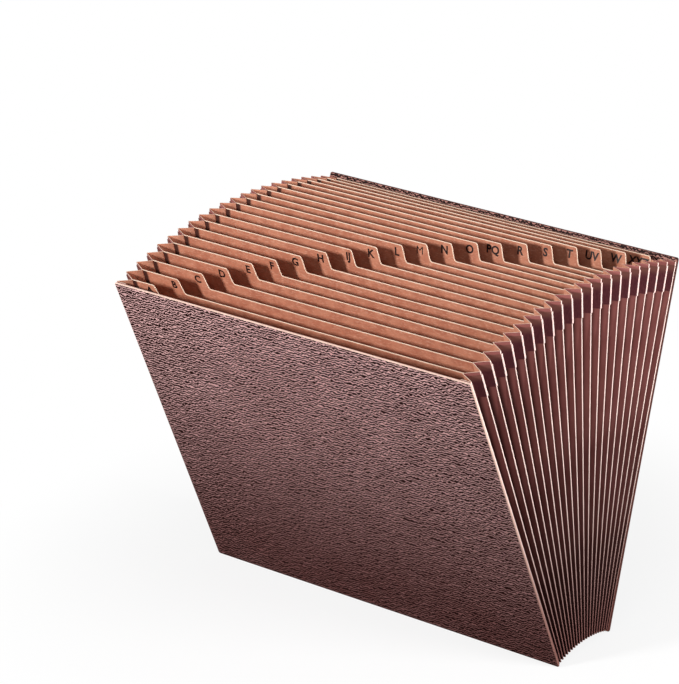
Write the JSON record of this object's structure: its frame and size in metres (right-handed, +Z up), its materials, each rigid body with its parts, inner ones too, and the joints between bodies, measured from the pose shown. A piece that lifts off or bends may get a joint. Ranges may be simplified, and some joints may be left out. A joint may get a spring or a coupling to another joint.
{
  "type": "expanding file",
  "caption": "Open-top accordion file with leather-grain board covers, pleated paper sides and bottom, and tabbed index dividers that sort letter size papers",
  "frame": {"origin": "centre of the bottom of the bounding box, on the surface the open file stands on", "axes": "+X across the file's width, +Y from the front cover to the back cover, +Z up to the open pockets"},
  "size_m": [0.305, 0.2374, 0.2679],
  "materials": {
    "cover_board": "satin, leather grain",
    "divider_paper": "matte",
    "pleat_paper": "matte",
    "tape": "matte"
  },
  "bodies": {
    "root": {"front_cover": "cover_board", "back_cover": "cover_board", "divider_a": "divider_paper", "divider_b": "divider_paper", "divider_c": "divider_paper", "divider_d": "divider_paper", "divider_e": "divider_paper", "divider_f": "divider_paper", "divider_g": "divider_paper", "divider_h": "divider_paper", "divider_ij": "divider_paper", "divider_k": "divider_paper", "divider_l": "divider_paper", "divider_m": "divider_paper", "divider_n": "divider_paper", "divider_o": "divider_paper", "divider_pq": "divider_paper", "divider_r": "divider_paper", "divider_s": "divider_paper", "divider_t": "divider_paper", "divider_uv": "divider_paper", "divider_w": "divider_paper", "divider_xyz": "divider_paper", "gusset_left": "pleat_paper", "gusset_right": "pleat_paper", "gusset_bottom": "pleat_paper", "tape_left": "tape", "tape_right": "tape"}
  },
  "joints": []
}
